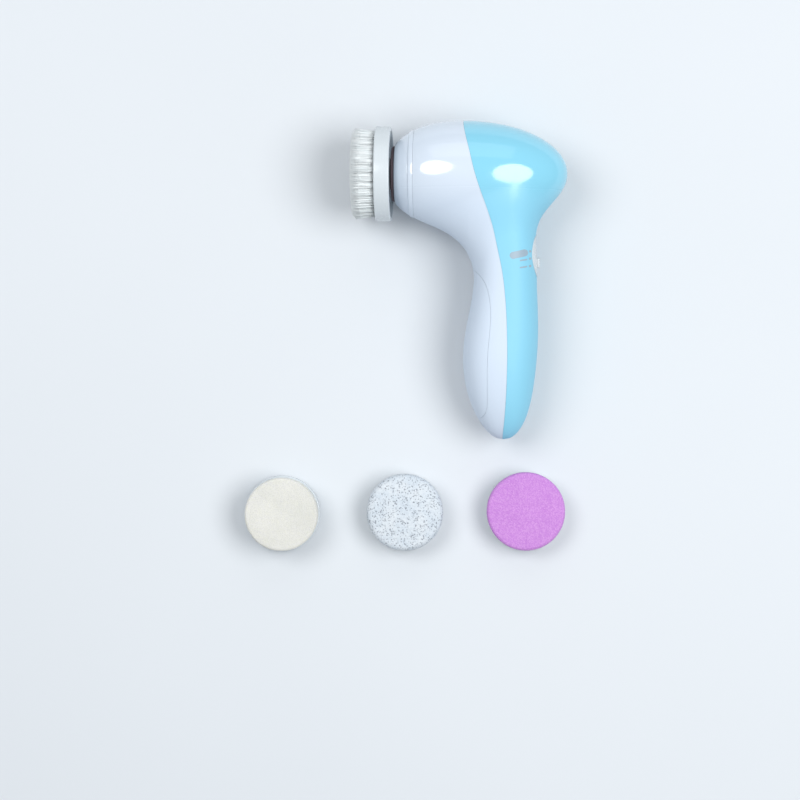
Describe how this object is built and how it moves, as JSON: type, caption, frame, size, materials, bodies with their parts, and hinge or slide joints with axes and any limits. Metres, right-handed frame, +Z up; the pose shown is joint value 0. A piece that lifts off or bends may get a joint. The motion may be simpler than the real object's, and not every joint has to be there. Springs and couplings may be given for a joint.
{
  "type": "electric callus remover",
  "caption": "Battery callus remover lying on its side with a spinning brush head fitted, and separate sponge, pumice and buffer heads beside it.",
  "frame": {"origin": "centre of the whole set's bounding box in plan, on the table it lies on", "axes": "+Z up from the table; +Y from the tail of the handle to the bulb, the longest extent; +X from the brush to the back of the bulb"},
  "size_m": [0.1494, 0.1992, 0.0492],
  "materials": {
    "white_shell": "gloss",
    "aqua_shell": "gloss",
    "white_plastic": "satin",
    "bristle": "satin",
    "black_rubber": "matte",
    "steel": "satin",
    "brass": "satin",
    "copper": "satin",
    "ferrite": "matte",
    "gear_plastic": "satin",
    "black_plastic": "satin",
    "cell_jacket": "satin",
    "red_wire": "satin",
    "black_wire": "satin",
    "sponge": "matte",
    "pumice": "matte",
    "buffer": "matte"
  },
  "bodies": {
    "housing": {"front_shell": "white_shell", "back_shell": "aqua_shell", "switch_plate": "white_plastic", "nose_ring": "white_shell", "nose_seal": "black_rubber", "spindle_bush": "brass", "idler_pin": "steel", "gear_case": "gear_plastic", "gear_cover": "gear_plastic", "motor_screw_left": "steel", "motor_screw_right": "steel", "motor_can": "steel", "motor_magnet_left": "ferrite", "motor_magnet_right": "ferrite", "motor_end_cap": "black_plastic", "motor_terminal_left": "copper", "motor_terminal_right": "copper", "battery_tray": "black_plastic", "battery_left": "cell_jacket", "battery_right": "cell_jacket", "battery_contact_left": "steel", "battery_contact_right": "steel", "battery_bridge": "steel", "battery_spring_left": "steel", "battery_spring_right": "steel", "wire_cell_to_switch": "red_wire", "wire_switch_to_motor": "red_wire", "wire_cell_to_motor": "black_wire", "slide_switch": "steel", "speed_resistor": "gear_plastic", "shell_screw_left": "steel", "shell_screw_right": "steel", "shell_screw_lower": "steel"},
    "spindle": {"spindle": "steel", "drive_hub": "black_plastic", "output_gear": "gear_plastic"},
    "idler": {"idler_gear": "gear_plastic"},
    "rotor": {"motor_shaft": "steel", "motor_pinion": "brass", "motor_armature": "copper", "motor_commutator": "brass"},
    "brush_head": {"brush_base": "white_plastic", "brush_tufts": "bristle"},
    "switch_slider": {"switch_knob": "white_plastic"},
    "door": {"battery_door": "white_shell"},
    "sponge_head": {"sponge_base": "white_plastic", "sponge_pad": "sponge"},
    "pumice_head": {"pumice_base": "white_plastic", "pumice_pad": "pumice"},
    "buffer_head": {"buffer_base": "white_plastic", "buffer_pad": "buffer"}
  },
  "joints": [
    {"name": "spindle_spin", "type": "hinge", "parent": "housing", "child": "spindle", "pos_m": [-0.00449, 0.07527, 0.02284], "axis": [-0.9984, 0.0043, -0.0557], "continuous": true},
    {"name": "idler_spin", "type": "hinge", "parent": "housing", "child": "idler", "pos_m": [0.00819, 0.08439, 0.02425], "axis": [-0.9984, 0.0043, -0.0557], "continuous": true},
    {"name": "motor_spin", "type": "hinge", "parent": "housing", "child": "rotor", "pos_m": [0.02037, 0.07516, 0.02423], "axis": [-0.9984, 0.0043, -0.0557], "continuous": true},
    {"name": "brush_head_pull", "type": "slide", "parent": "spindle", "child": "brush_head", "axis": [-0.9984, 0.0043, -0.0557], "range_m": [0, 0.03]},
    {"name": "switch_slide", "type": "slide", "parent": "housing", "child": "switch_slider", "axis": [0, 0.9971, 0.0767], "range_m": [0, 0.0066]},
    {"name": "battery_door_pull", "type": "slide", "parent": "housing", "child": "door", "axis": [-0.9984, 0.0043, -0.0557], "range_m": [0, 0.03]},
    {"name": "sponge_lift", "type": "slide", "parent": "housing", "child": "sponge_head", "axis": [0, 0, 1], "range_m": [0, 0.05]},
    {"name": "pumice_lift", "type": "slide", "parent": "housing", "child": "pumice_head", "axis": [0, 0, 1], "range_m": [0, 0.05]},
    {"name": "buffer_lift", "type": "slide", "parent": "housing", "child": "buffer_head", "axis": [0, 0, 1], "range_m": [0, 0.05]}
  ],
  "couplings": [
    {"joint": "idler_spin", "follows": "spindle_spin", "ratio": -2.8333},
    {"joint": "motor_spin", "follows": "spindle_spin", "ratio": 10.2}
  ]
}
